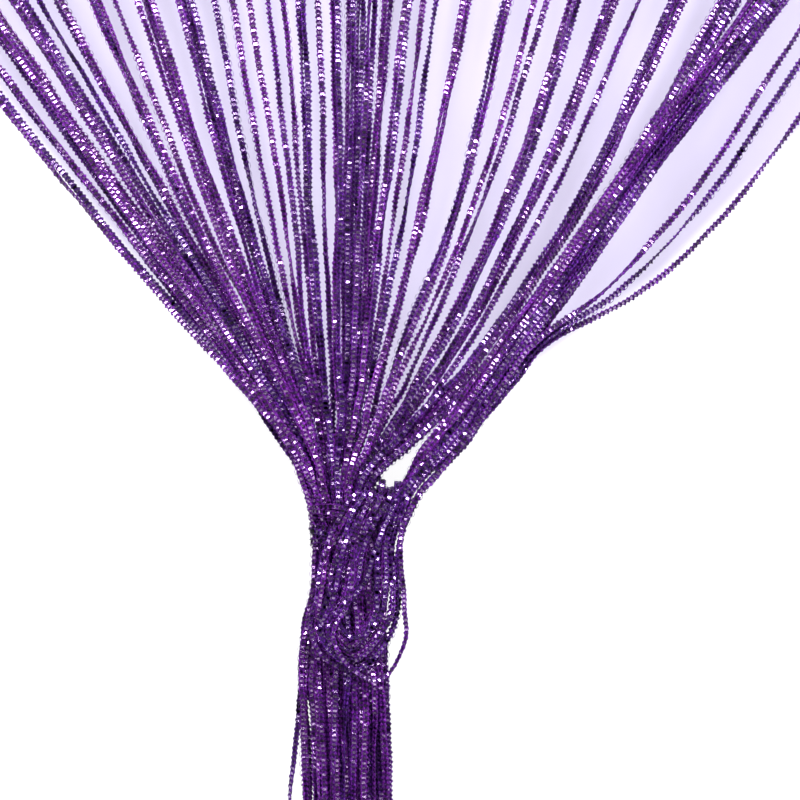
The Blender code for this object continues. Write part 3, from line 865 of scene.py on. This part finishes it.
def smooth_way(way):
    """A smooth curve through unevenly spaced way-points, in short steps."""
    span = np.linalg.norm(np.diff(way[:, :3], axis=0), axis=1)
    slope = np.diff(way, axis=0) / span[:, None]
    before, after = span[:-1, None], span[1:, None]
    inner = (slope[:-1] * after + slope[1:] * before) / (before + after)
    slopes = np.vstack([slope[:1], inner, slope[-1:]])
    at = np.concatenate([[0.0], np.cumsum(span)])
    places = np.arange(0.0, at[-1], SMOOTH_STEP)
    k = np.clip(np.searchsorted(at, places, side="right") - 1, 0, len(span) - 1)
    t = ((places - at[k]) / span[k])[:, None]
    size = span[k][:, None]
    return ((2 * t ** 3 - 3 * t ** 2 + 1) * way[k] + (t ** 3 - 2 * t ** 2 + t) * size * slopes[k]
            + (3 * t ** 2 - 2 * t ** 3) * way[k + 1] + (t ** 3 - t ** 2) * size * slopes[k + 1])


def unit(vectors):
    """Rows of vectors, each made 1 long."""
    return vectors / np.linalg.norm(vectors, axis=-1, keepdims=True)


class Run:
    """One string at every stitch: place, directions, width and tones."""

    def __init__(self, way, stitch, width, twist, lean, dice):
        """Follow a way; it turns by waves of twist about a steady lean."""
        curve = smooth_way(way)
        length = np.concatenate([[0.0], np.cumsum(
            np.linalg.norm(np.diff(curve[:, :3], axis=0), axis=1))])
        count = int(length[-1] / stitch)
        self.distance = np.arange(count + 1) * stitch
        rows = np.stack([np.interp(self.distance, length, column) for column in curve.T], axis=1)
        self.place = rows[:, :3]
        across, through = self.level(rows[:, 3:6])
        self.knotted = knotted = self.in_knot()
        stray = (WANDER_OPEN + (WANDER_IN_KNOT - WANDER_OPEN) * knotted)[:, None]
        self.place = self.place + stray * (
            across * self.waves(WANDER_WAVES, dice)[:, None]
            + through * WANDER_DEPTH_SHARE * self.waves(WANDER_WAVES, dice)[:, None])
        across, through = self.level(rows[:, 3:6])
        calm = 1 - (1 - TURN_LEFT_IN_KNOT) * knotted
        turn = ((self.waves(TURN_WAVES, dice) * twist + lean) * calm)[:, None]
        self.across = np.cos(turn) * across + np.sin(turn) * through
        self.through = np.cross(self.along, self.across)
        self.width = (rows[:, 6] * width)[:, None]
        self.stitch = stitch
        self.tone = dice.random()
        # Painted shade: stitch tones drop inside the knot, most where the string runs level.
        level = np.clip(1 - np.abs(self.along[:, 2]) / LEVEL_BELOW, 0.0, 1.0)
        scatter = SHINE_SCATTER + (SCATTER_IN_KNOT - SHINE_SCATTER) * knotted
        self.tones = np.clip(0.5 + SHINE_SHARE * self.waves(SHINE_WAVES, dice)
                             + scatter * (dice.random(count + 1) - 0.5)
                             - (PAINTED_KNOT_SHADE + PAINTED_LEVEL_SHADE * level) * knotted, 0.0, 1.0)

    def level(self, given):
        """Directions along, across and through the string, square to each other."""
        self.along = unit(np.gradient(self.place, axis=0))
        lengthwise = (given * self.along).sum(axis=1, keepdims=True)
        across = unit(given - lengthwise * self.along)
        return across, np.cross(self.along, across)

    def waves(self, rows, dice):
        """A slow random wave along the string, within -1 and 1."""
        return sum(share * np.sin(math.tau * (self.distance / wave + dice.random()))
                   for wave, share in rows)

    def in_knot(self):
        """1 inside the knot and 0 well outside it."""
        height = self.place[:, 2] - NECK.z
        outside = np.maximum(height - KNOT_TOP, KNOT_BOTTOM - height)
        return 1 - np.clip(outside / KNOT_FADE, 0, 1)

    def values(self, first, last, corners, across):
        """The four per-point values of rings first to last."""
        given = {STRING_TONE: self.tone, STITCH_TONE: self.tones[first:last, None],
                 ALONG: np.arange(first, last)[:, None], ACROSS: across}
        made = np.empty((last - first, corners, len(POINT_VALUES)))
        for column, name in enumerate(POINT_VALUES):
            made[..., column] = given[name]
        return made


def section_ring(run, picks, half_width, half_thickness):
    """Four-cornered sections of the flat string at the stitches in picks."""
    aside = run.across[picks] * run.width[picks] * half_width
    out = run.through[picks] * run.width[picks] * half_thickness
    right, left = run.place[picks] + aside, run.place[picks] - aside
    return np.stack([right - out, right + out, left + out, left - out], axis=1)


def add_plain(mesh, run, first, last, step):
    """A stretch of string as a plain ribbon with a section every few stitches."""
    picks = np.unique(np.append(np.arange(first, last, step), last))
    values = run.values(0, len(run.place), 4, (1.0, 1.0, -1.0, -1.0))[picks]
    mesh.add_tube(section_ring(run, picks, 0.5, PLAIN_HALF_THICKNESS), values,
                  PLAIN, False, capped=True)


def add_ground(mesh, run, first, last):
    """The dark thread behind the rungs: a flat web between the edges."""
    half = run.across[first:last] * run.width[first:last] * GROUND_HALF_WIDTH
    centre = run.place[first:last]
    rings = np.stack([centre + half, centre - half], axis=1)
    start = np.arange(last - first - 1)[:, None] * 2
    mesh.add(rings, run.values(first, last, 2, (1.0, -1.0)), start + np.array([0, 1, 3, 2]),
             GROUND, True)


def add_edge_cord(mesh, run, first, last, side, dice):
    """The looped thread along one edge: two rings to a stitch, out and in."""
    stitches = np.arange(first, last)
    across, through = run.across[first:last], run.through[first:last]
    width = run.width[first:last]
    bulk = np.where((stitches + (side > 0)) % 2 == 0, EVEN_STITCH, ODD_STITCH)[:, None]
    bulk = bulk * dice.uniform(*CORD_SCATTER, bulk.shape)
    rings = np.empty((len(stitches), 2, CORD_SIDES, 3))
    angles = math.tau * np.arange(CORD_SIDES) / CORD_SIDES
    for half in range(2):
        centre = (run.place[first:last] + run.along[first:last] * (CORD_AHEAD[half] * run.stitch)
                  + across * side * width * CORD_OFFSET[half]
                  + through * width * CORD_BOB * (1 - 2 * half) * side)
        radius = width * CORD_RADIUS[half] * (bulk if half == 0 else 1.0)
        for k, angle in enumerate(angles + CORD_TURN[half]):
            rings[:, half, k] = centre + radius * (math.cos(angle) * across
                                                   + math.sin(angle) * through)
    values = np.repeat(run.values(first, last, CORD_SIDES, side * 1.0), 2, axis=0)
    mesh.add_tube(rings.reshape(-1, CORD_SIDES, 3), values, EDGE, True)


def add_rungs(mesh, run, first, last, dice):
    """One film rung to a stitch, each rolled and tipped a little differently."""
    knotted, width = run.knotted[first:last], run.width[first:last]
    roll = dice.normal(0.0, RUNG_ROLL + knotted * (RUNG_TILT_IN_KNOT - RUNG_ROLL))[:, None]
    tip = dice.normal(0.0, RUNG_PITCH + knotted * (RUNG_TILT_IN_KNOT - RUNG_PITCH))[:, None]
    across = unit(run.across[first:last] + run.through[first:last] * np.sin(roll))
    along = unit(run.along[first:last] + run.through[first:last] * np.sin(tip))
    along = unit(along - (along * across).sum(axis=1, keepdims=True) * across)
    through = np.cross(along, across)
    centre = run.place[first:last] + run.along[first:last] * run.stitch * 0.5
    half_length = along * run.stitch * RUNG_HALF_LENGTH * dice.uniform(*RUNG_SCATTER, width.shape)
    half_thickness = through * width * RUNG_HALF_THICKNESS
    half_width = across * width * RUNG_HALF_WIDTH
    section = np.stack([half_thickness - half_length, half_thickness + half_length,
                        -half_thickness + half_length, -half_thickness - half_length], axis=1)
    rings = np.stack([centre[:, None] - half_width[:, None] + section,
                      centre[:, None] + half_width[:, None] + section], axis=1)
    corner = np.arange(4)
    after = (corner + 1) % 4
    one = np.stack([corner, after, 4 + after, 4 + corner], axis=-1)
    quads = (np.arange(last - first)[:, None, None] * 8 + one[None]).reshape(-1, 4)
    values = np.repeat(run.values(first, last, 1, 0.0), 8, axis=1)
    mesh.add(rings, values, quads, FILM, False)


def add_filament_loops(mesh, run, first, last, side):
    """Fine loops of single filament that stand out from one edge."""
    angles = math.tau * np.arange(LOOP_SIDES)[:, None] / LOOP_SIDES
    for start in range(first, last - LOOP_EVERY, LOOP_EVERY):
        across, ahead = run.across[start], run.along[start] * run.stitch
        root = run.place[start] + across * side * run.width[start] * LOOP_ROOT
        out = across * side * LOOP_REACH
        path = np.array([root + out * reach + ahead * share for share, reach in LOOP_PATH])
        ring = LOOP_RADIUS * (np.cos(angles) * across + np.sin(angles) * run.through[start])
        values = run.values(start, start + 1, LOOP_SIDES, side * 1.0)
        mesh.add_tube(path[:, None] + ring[None], np.repeat(values, len(path), axis=0), EDGE, True)


def add_ladder(mesh, run, first, last, dice):
    """Every stitch of a stretch: its ground, both its edges and its rungs."""
    add_ground(mesh, run, first, last)
    for side in (1, -1):
        add_edge_cord(mesh, run, first, last, side, dice)
    add_rungs(mesh, run, first, last, dice)


def add_string(mesh, way, sizes, lean, dice):
    """A whole string: plain run, modelled stitches round the knot, plain run."""
    run = Run(way, sizes.stitch, sizes.string_width, sizes.twist, lean, dice)
    height = run.place[:, 2] - NECK.z
    near = np.flatnonzero((height < sizes.fine_above) & (height > -sizes.fine_below))
    first, last, end = near[0], near[-1], len(height) - 1
    add_plain(mesh, run, 0, first + 1, sizes.plain_stitches)
    add_ladder(mesh, run, first, last, dice)
    if dice.random() < LOOP_SHARE:
        add_filament_loops(mesh, run, first, last, dice.choice((-1, 1)))
    add_plain(mesh, run, last - 1, end, sizes.plain_stitches)


def string_piece(name, node, ways, leans, context, seed):
    """One piece of several strings."""
    dice = np.random.default_rng(SEED + seed)
    mesh = Gathered()
    for way, lean in zip(ways, leans):
        add_string(mesh, way, context.scene.curtain_sizes, lean, dice)
    as_piece(mesh.to_object(name, string_materials(context)), node)


# ---------------------------------------------------------------- operators

MAIN_PIECES = 5
# Seeds of the pieces' own random draws; the main strings' pieces take 0 to 4.
COLLAR_SEED, BIGHT_SEED, MAIN_BRAID_SEED, WRAP_BRAID_SEED = 101, 202, 301, 302
# The braids reach up into the tape's lower edge and stop short of each other.
BRAID_TUCK, BRAID_GAP = 1.6 * MM, 0.15 * MM
BRAID_WAY_POINTS = 4


class CURTAIN_OT_main_strings(bpy.types.Operator):
    """Knit the main strings, from the heading through the neck to the tail"""
    bl_idname = "curtain.main_strings"
    bl_label = "Main strings"

    def execute(self, context):
        ways = main_routes()
        if len(ways) != MAIN_COUNT:
            raise ValueError("the fan's clusters don't add up to the main strings")
        share = math.ceil(MAIN_COUNT / MAIN_PIECES)
        for k in range(MAIN_PIECES):
            group = ways[k * share:(k + 1) * share]
            string_piece(f"fan_strings_{k + 1}", "main_strings", group, [0.0] * len(group),
                         context, k)
        return {"FINISHED"}


class CURTAIN_OT_collar_strings(bpy.types.Operator):
    """Knit the strings that pass round the neck as a flat collar"""
    bl_idname = "curtain.collar_strings"
    bl_label = "Collar strings"

    def execute(self, context):
        fan_columns = [[x] * COLLAR_LAYERS for x in WRAP_FAN_X[:COLLAR_COLUMNS]]
        ways = wrap_routes(COLLAR_COLUMNS, COLLAR_LAYERS, MAIN_COUNT, fan_columns, COLLAR_ROUTE,
                           np.zeros((COLLAR_COLUMNS, COLLAR_LAYERS, 3)), (0.0,) * COLLAR_COLUMNS)
        string_piece("collar_strings", "wrap_strings", ways, [COLLAR_LEAN] * len(ways),
                     context, COLLAR_SEED)
        return {"FINISHED"}


class CURTAIN_OT_bight_strings(bpy.types.Operator):
    """Knit the strings that hang as the slip knot's loop"""
    bl_idname = "curtain.bight_strings"
    bl_label = "Bight strings"

    def execute(self, context):
        fan_columns = [[x] * BIGHT_LAYERS for x in WRAP_FAN_X[COLLAR_COLUMNS:]]
        fan_columns.append(LONE_FAN_X)
        loose = np.random.default_rng(SEED).normal(0.0, LOOSE_STRAY,
                                                   (BIGHT_COLUMNS, BIGHT_LAYERS, 3))
        loose[-1] = LONE_LOOSE
        ways = wrap_routes(BIGHT_COLUMNS, BIGHT_LAYERS, MAIN_COUNT + COLLAR_COUNT,
                           fan_columns, BIGHT_ROUTE, loose, SADDLE_LIFT)
        leans = (0.0,) * (len(ways) - BIGHT_LAYERS) + LONE_LEANS
        string_piece("bight_strings", "wrap_strings", ways, leans, context, BIGHT_SEED)
        return {"FINISHED"}


def header_braid(name, node, low_x, high_x, context, seed):
    """The narrow knitted strip that the strings' roots run into."""
    dice = np.random.default_rng(SEED + seed)
    centre_z = STRIP_TOP - STRIP_HEIGHT / 2 + BRAID_TUCK / 2
    way = np.array([way_point((x, 0.0, centre_z), UP, 1.0)
                    for x in np.linspace(low_x, high_x, BRAID_WAY_POINTS)])
    run = Run(way, context.scene.curtain_sizes.stitch, STRIP_HEIGHT + BRAID_TUCK, 0.0, 0.0, dice)
    mesh = Gathered()
    add_ladder(mesh, run, 0, len(run.place) - 1, dice)
    as_piece(mesh.to_object(name, string_materials(context)), node)


class CURTAIN_OT_header_braids(bpy.types.Operator):
    """Knit the two narrow strips that the strings hang from"""
    bl_idname = "curtain.header_braids"
    bl_label = "Header braids"

    def execute(self, context):
        split = CURTAIN_LEFT + MAIN_COUNT * STRING_PITCH
        header_braid("main_header_braid", "main_strings", CURTAIN_LEFT, split - BRAID_GAP,
                     context, MAIN_BRAID_SEED)
        header_braid("wrap_header_braid", "wrap_strings", split + BRAID_GAP,
                     CURTAIN_LEFT + CURTAIN_WIDTH, context, WRAP_BRAID_SEED)
        return {"FINISHED"}


# The heading tape: rows of its section from top to bottom, as shares of the
# tape's height and of its thickness.  The selvedges are a little thicker.
TAPE_ROWS = ((0.0, 0.35), (0.012, 0.80), (0.05, 1.0), (0.085, 0.72), (0.25, 0.70), (0.5, 0.72),
             (0.75, 0.70), (0.915, 0.72), (0.95, 1.0), (0.988, 0.80), (1.0, 0.35))
TAPE_RIB = 2.0 * MM
TAPE_RIB_DEPTH = 0.10
# The seam: how far down the tape and how far out from its middle it lies, and
# one stitch's thickness along its length, both as shares.
SEW_DOWN, SEW_OUT = 0.90, 0.80
SEW_PITCH, SEW_LENGTH, SEW_RADIUS = 3.0 * MM, 2.1 * MM, 0.22 * MM
SEW_STITCH = ((0.0, 0.4), (0.2, 1.0), (0.8, 1.0), (1.0, 0.4))


class CURTAIN_OT_heading_tape(bpy.types.Operator):
    """Weave the heading tape, with its ribs and thick selvedges"""
    bl_idname = "curtain.heading_tape"
    bl_label = "Heading tape"

    def execute(self, context):
        height = TAPE_HIGH.z - TAPE_LOW.z
        half = (TAPE_HIGH.y - TAPE_LOW.y) / 2
        middle = (TAPE_HIGH.y + TAPE_LOW.y) / 2
        columns = int(CURTAIN_WIDTH / (TAPE_RIB / 2)) + 1
        x = np.linspace(TAPE_LOW.x, TAPE_HIGH.x, columns)
        rib = 1 - TAPE_RIB_DEPTH * (np.arange(columns) % 2)
        section = [(*row, 1) for row in TAPE_ROWS] + [(*row, -1) for row in reversed(TAPE_ROWS)]
        rings = np.empty((columns, len(section), 3))
        for k, (down, thick, side) in enumerate(section):
            rings[:, k, 0] = x
            rings[:, k, 1] = middle + side * half * thick * rib
            rings[:, k, 2] = TAPE_HIGH.z - down * height
        mesh = Gathered()
        mesh.add_tube(rings, np.zeros((columns, len(section), len(POINT_VALUES))), 0, True)
        woven = tape_material(context.scene.curtain_colours.tape)
        made = mesh.to_object("heading_tape_weave", [woven])
        as_piece(made, "heading_tape")
        seam = self.sew_line(context, middle, half, height)
        return {"FINISHED"}

    def sew_line(self, context, middle, half, height):
        """One row of lockstitch on each face, along the lower selvedge."""
        mesh = Gathered()
        z = TAPE_HIGH.z - SEW_DOWN * height
        start = TAPE_LOW.x + SEW_PITCH / 2
        values = np.full((len(SEW_STITCH), 4, len(POINT_VALUES)), 0.5)
        for side in (-1, 1):
            y = middle + side * half * SEW_OUT
            for k in range(int(CURTAIN_WIDTH / SEW_PITCH)):
                rings = np.empty((len(SEW_STITCH), 4, 3))
                for step, (share, bulk) in enumerate(SEW_STITCH):
                    x = start + k * SEW_PITCH + (share - 0.5) * SEW_LENGTH
                    radius = SEW_RADIUS * bulk
                    rings[step] = [(x, y + radius, z), (x, y, z + radius),
                                   (x, y - radius, z), (x, y, z - radius)]
                mesh.add_tube(rings, values, 0, True, capped=True)
        made = mesh.to_object("heading_tape_seam", [string_materials(context)[EDGE]])
        as_piece(made, "heading_tape")
        return made


# ---------------------------------------------------------------- stage

LENS, SENSOR = 110.0, 36.0
VIEW_SIZE = 320 * MM
VIEW_CENTRE = NECK + Vector((22.0, 0.0, 34.0)) * MM
WALL_Y, WALL_SIZE, FLOOR_DROP = 33 * MM, 9.0, 30 * MM
# How much light the stage takes and how much it gives, plain and shaded.
STAGE_LIT, SHADED_LIT = 0.25, 0.38
WALL_GLOW, FLOOR_GLOW, SHADED_GLOW = 0.90, 0.80, 0.72
# Behind the fan the wall has painted shade: where the fan's lower edges start
# and how steeply they rise, left and right, with a soft border.
FAN_EDGES = ((-14.0, 2.0, -1.24), (40.0, 24.0, 0.70), (122.0, 79.0, 1.02))
FAN_EDGE_BLUR = 4 * MM
# The room that lights the strings, and the paler one that the camera sees.
ROOM_COLOUR, ROOM_STRENGTH = (0.70, 0.38, 1.0, 1.0), 0.11
ROOM_SEEN = (0.92, 0.91, 0.96, 1.0)
# Lamps, from the view's centre, in metres.
LAMP_COLUMNS = ("name", "x", "y", "z", "size", "watts")
LAMPS = (
    ("key", -0.28, -0.48, 0.42, 0.15, 3.5),
    ("fill", 0.34, -0.52, 0.38, 0.16, 2.9),
    ("top", 0.03, -0.58, 0.56, 0.18, 3.5),
    ("glint_left", -0.20, -0.88, -0.04, 0.07, 0.38),
    ("glint_right", 0.17, -0.90, 0.06, 0.07, 0.38),
    ("glint_low", 0.02, -0.86, -0.22, 0.07, 0.30),
)


def plane_object(name, corners, material):
    """One flat face of the stage."""
    mesh = bpy.data.meshes.new(name)
    mesh.from_pydata(corners, [], [(0, 1, 2, 3)])
    mesh.materials.append(material)
    made = bpy.data.objects.new(name, mesh)
    bpy.context.scene.collection.objects.link(made)


class CURTAIN_OT_stage(bpy.types.Operator):
    """Set the pale wall and floor, the lamps and the camera"""
    bl_idname = "curtain.stage"
    bl_label = "Stage"

    def execute(self, context):
        scene = context.scene
        colour = tuple(scene.curtain_colours.backdrop)
        floor_z = CAD_BOX[0].z - FLOOR_DROP
        half = WALL_SIZE / 2
        wall = stage_material("stage_wall", colour, WALL_GLOW,
                              tuple(scene.curtain_colours.shaded))
        floor = stage_material("stage_floor", colour, FLOOR_GLOW)
        plane_object("wall", [(-half, WALL_Y, floor_z), (half, WALL_Y, floor_z),
                              (half, WALL_Y, half), (-half, WALL_Y, half)], wall)
        plane_object("floor", [(-half, -half, floor_z), (half, -half, floor_z),
                               (half, WALL_Y, floor_z), (-half, WALL_Y, floor_z)], floor)
        self.light(scene)
        self.camera(scene)
        return {"FINISHED"}

    def light(self, scene):
        """A dim violet room and soft lamps, the small ones for glints."""
        world = bpy.data.worlds.new("soft_room")
        world.use_nodes = True
        tree = world.node_tree
        room = tree.nodes["Background"]
        fill(tree, room, {"Color": ROOM_COLOUR, "Strength": ROOM_STRENGTH})
        seen = add_node(tree, "Background", {"Color": ROOM_SEEN})
        by_camera = add_node(tree, "LightPath", {}).outputs["Is Camera Ray"]
        mix_shaders(tree, by_camera, room.outputs["Background"], seen.outputs["Background"],
                    "World Output")
        scene.world = world
        for row in LAMPS:
            lamp = dict(zip(LAMP_COLUMNS, row))
            data = bpy.data.lights.new(lamp["name"], "AREA")
            data.size = lamp["size"]
            data.energy = lamp["watts"]
            made = bpy.data.objects.new(lamp["name"], data)
            made.location = VIEW_CENTRE + Vector((lamp["x"], lamp["y"], lamp["z"]))
            toward = VIEW_CENTRE - made.location
            made.rotation_euler = toward.to_track_quat("-Z", "Y").to_euler()
            scene.collection.objects.link(made)

    def camera(self, scene):
        """A long lens, square to the curtain, that takes in the fan's foot and the knot."""
        data = bpy.data.cameras.new("camera")
        data.lens = LENS
        data.sensor_width = SENSOR
        made = bpy.data.objects.new("camera", data)
        distance = VIEW_SIZE * LENS / SENSOR
        made.location = VIEW_CENTRE - Vector((0.0, distance, 0.0))
        made.rotation_euler = (math.pi / 2, 0.0, 0.0)
        scene.collection.objects.link(made)
        scene.camera = made
        scene.view_settings.view_transform = "Standard"


# ---------------------------------------------------------------- panel and registration

STEPS = (CURTAIN_OT_heading_tape, CURTAIN_OT_header_braids, CURTAIN_OT_main_strings,
         CURTAIN_OT_collar_strings, CURTAIN_OT_bight_strings, CURTAIN_OT_stage)


class VIEW3D_PT_curtain(bpy.types.Panel):
    """Sizes, colours and pieces of the string curtain"""
    bl_label = "String Curtain"
    bl_space_type = "VIEW_3D"
    bl_region_type = "UI"
    bl_category = "Curtain"

    def draw(self, context):
        layout = self.layout
        for settings in (context.scene.curtain_sizes, context.scene.curtain_colours):
            box = layout.box()
            for name in settings.bl_rna.properties.keys():
                if name not in ("rna_type", "name"):
                    box.prop(settings, name)
        for step in STEPS:
            layout.operator(step.bl_idname)


CLASSES = (CurtainSizes, CurtainColours, *STEPS, VIEW3D_PT_curtain)


def register():
    """Add the curtain's settings, steps and panel."""
    for item in CLASSES:
        bpy.utils.register_class(item)
    bpy.types.Scene.curtain_sizes = bpy.props.PointerProperty(type=CurtainSizes)
    bpy.types.Scene.curtain_colours = bpy.props.PointerProperty(type=CurtainColours)


def unregister():
    """Take them away again."""
    del bpy.types.Scene.curtain_colours
    del bpy.types.Scene.curtain_sizes
    for item in reversed(CLASSES):
        bpy.utils.unregister_class(item)


def main():
    """Make every piece and the stage."""
    register()
    bpy.ops.curtain.heading_tape()
    bpy.ops.curtain.header_braids()
    bpy.ops.curtain.main_strings()
    bpy.ops.curtain.collar_strings()
    bpy.ops.curtain.bight_strings()
    bpy.ops.curtain.stage()


if __name__ == "__main__":
    main()
